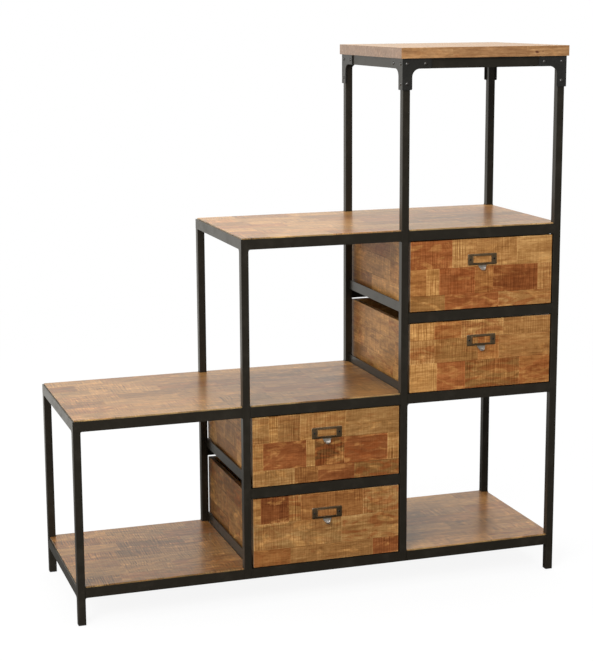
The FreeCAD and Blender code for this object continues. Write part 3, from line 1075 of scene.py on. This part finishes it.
def make_welds():
    """Fillets where rails meet posts, in the front and back planes and at the two ends."""
    chance = random.Random(weld_seed)
    posts = {name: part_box(name + "_front_post") for name in ("left", "middle", "inner", "right")}
    depth_low = posts["left"][0].y
    depth_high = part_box("left_back_post")[1].y
    bottom = rail_levels("bottom_front_rails")
    step_1 = rail_levels("step_1_front_rails")
    step_2 = rail_levels("step_2_front_rails")
    angle = bottom[1] - bottom[0]
    right, up, back = Vector((1, 0, 0)), Vector((0, 0, 1)), Vector((0, 1, 0))
    points, faces = [], []

    def add_fillet(x, y, z, inward, side, through):
        corner = Vector((x, y, z))
        append_mesh(points, faces, *weld_fillet(corner, inward, up * side, through, chance))

    planes = ((depth_low, back, "drawer_front_rails"), (depth_high, -back, "drawer_back_rails"))
    for y, through, drawer_rails in planes:
        low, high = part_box(drawer_rails)
        middle_row = (low.z, low.z + angle)
        right_row = (high.z - angle, high.z)
        bays = [
            ("left", "middle", (bottom, step_1)),
            ("middle", "inner", (bottom, middle_row, step_1, step_2)),
            ("inner", "right", (bottom, step_1, right_row, step_2)),
        ]
        for left_post, right_post, rows in bays:
            for levels in rows:
                for name, edge, inward in ((left_post, 1, right), (right_post, 0, -right)):
                    for side, z in post_sides(posts[name], levels):
                        add_fillet(posts[name][edge].x, y, z, inward, side, through)
    post_size = posts["left"][1].y - posts["left"][0].y
    ends = [
        ("left", 0, right, (bottom, step_1)),
        ("middle", 0, right, (step_2,)),
        ("right", 1, -right, (bottom, step_1, step_2)),
    ]
    for name, edge, through, rows in ends:
        x = posts[name][edge].x
        for levels in rows:
            for side, z in post_sides(posts[name], levels):
                for y, inward in ((depth_low + post_size, back), (depth_high - post_size, -back)):
                    add_fillet(x, y, z, inward, side, through)
    add_piece("weld_fillets", points, faces, frame_steel, "frame", smooth=30)


# Solids that stay

def dress_solids():
    """Gives the steel, plastic and plywood solids their looks."""
    looks = {
        "frame_steel": frame_steel, "bracket_steel": bracket_steel,
        "drawer_panel": panel_wood, "plug_plastic": plug_plastic,
    }
    for part in frame["record"]["subparts"]:
        node, slot = part["node"], part["material_slot"]
        if slot in looks:
            materials = frame["nodes"][node].data.materials
            materials.clear()
            materials.append(rivet_steel if node == "bracket_rivets" else looks[slot])


# Studio

def make_floor():
    """A pale floor: to the camera white with a soft shadow. In gloss it glows, brighter further off
    and behind: a painted reflection, with painted shade near the unit.
    """
    look = Look("pale_floor")
    ray = look.add("ShaderNodeLightPath")
    seen, mirrored = ray.outputs["Is Camera Ray"], ray.outputs["Is Glossy Ray"]
    here = look.place()
    away = look.length(here)
    spot = look.parts(here)
    behind = look.math("SUBTRACT", spot[Y], spot[X])
    behind = look.ramp(behind, low=-0.4, high=0.7, start=0.14, end=1.0)
    # The floor's glow in gloss is dimmer near the unit and in front, a painted shade in reflections
    gloss = look.math("MULTIPLY", behind, look.ramp(away, low=0.9, high=2.2, start=0.2, end=1.0))
    glow = look.add("ShaderNodeEmission")
    look.join(look.blend(seen, warm_white, white), glow.inputs["Color"])
    look.join(look.between(seen, gloss, 1.0), glow.inputs["Strength"])
    mottle = look.around_one(look.noise(here, 2), strength=0.02)
    paint = look.blend(seen, floor_paint, floor_paint_seen)
    look.set(Base_Color=look.scaled(paint, mottle), Roughness=0.9, Specular_IOR_Level=0.0)
    share = look.ramp(away, low=1.2, high=4.0, start=0.9, end=1.0)
    share = look.math("MULTIPLY", seen, share)
    mix = look.add("ShaderNodeMixShader")
    look.join(look.math("MAXIMUM", share, mirrored), mix.inputs[0])
    look.join(look.shader.outputs[0], mix.inputs[1])
    look.join(glow.outputs[0], mix.inputs[2])
    look.join(mix.outputs[0], look.output.inputs["Surface"])
    mesh = bpy.data.meshes.new("floor")
    corners = [(x * floor_reach, y * floor_reach, 0) for x, y in ((-1, -1), (1, -1), (1, 1), (-1, 1))]
    mesh.from_pydata(corners, [], [[0, 1, 2, 3]])
    mesh.materials.append(look.material)
    floor = add_object("floor", mesh)


def make_world():
    """White to the camera, a bright wall behind in gloss, else light that is fuller from the left."""
    world = bpy.data.worlds.new("studio")
    world.use_nodes = True
    look = Nodes(world.node_tree)
    x, y, z = look.parts(look.add("ShaderNodeTexCoord").outputs["Generated"])
    ray = look.add("ShaderNodeLightPath")
    seen, mirrored = ray.outputs["Is Camera Ray"], ray.outputs["Is Glossy Ray"]
    behind = look.math("SUBTRACT", y, x)
    behind = look.ramp(behind, low=-0.2, high=0.6, start=0.28, end=1.0)
    wall = look.math("MULTIPLY", behind, look.ramp(z, low=0.3, high=0.7, start=1.0, end=0.5))
    plain = look.ramp(x, low=-1.0, high=1.0, start=0.95, end=0.5)
    strength = look.between(mirrored, plain, wall)
    strength = look.between(seen, strength, 1.0)
    background = look.add("ShaderNodeBackground")
    look.join(look.blend(mirrored, white, warm_white), background.inputs["Color"])
    look.join(strength, background.inputs["Strength"])
    output = look.add("ShaderNodeOutputWorld")
    look.join(background.outputs[0], output.inputs["Surface"])
    bpy.context.scene.world = world


def soft_light(name, place, target, size, lift):
    """A square soft light that adds lift times a surface's own colour where it faces it."""
    beam = Vector(target) - Vector(place)
    lamp = bpy.data.lights.new(name, "AREA")
    lamp.shape = "SQUARE"
    lamp.size = size
    lamp.energy = lift * (math.pi * beam.length) ** 2
    light = add_object(name, lamp)
    light.location = place
    light.rotation_euler = beam.to_track_quat("-Z", "Y").to_euler()


def make_camera():
    """The photograph's camera. Its sensor spans the picture's longer side, the height."""
    lens = bpy.data.cameras.new("camera")
    lens.sensor_width = sensor_size
    lens.lens = sensor_size * focal_pixels / photo_height
    lens.shift_x = (photo_width / 2 - axis_pixel_x) / photo_height
    lens.shift_y = (axis_pixel_y - photo_height / 2) / photo_height
    camera = add_object("camera", lens)
    aim = Euler((math.radians(90 - camera_pitch), 0, math.radians(-camera_yaw)), "XYZ")
    roll = Matrix.Rotation(math.radians(camera_roll), 3, "Z")
    camera.rotation_euler = (aim.to_matrix() @ roll).to_euler()
    camera.location = camera_place
    bpy.context.scene.camera = camera


dress_solids()
make_boards()
make_drawer_boxes()
screw_chance = random.Random(screw_seed)
for drawer in drawers:
    make_pull(drawer)
    make_pull_screws(drawer, screw_chance)
make_welds()
make_floor()
make_world()
soft_light("key", place=(-3.2, -3.4, 3.4), target=(0, 0, 0.6), size=2.4, lift=0.75)
soft_light("top", place=(0.4, 0.6, 4.2), target=(0, 0.1, 0.6), size=3.0, lift=0.75)
make_camera()
bpy.context.scene.view_settings.view_transform = "Standard"
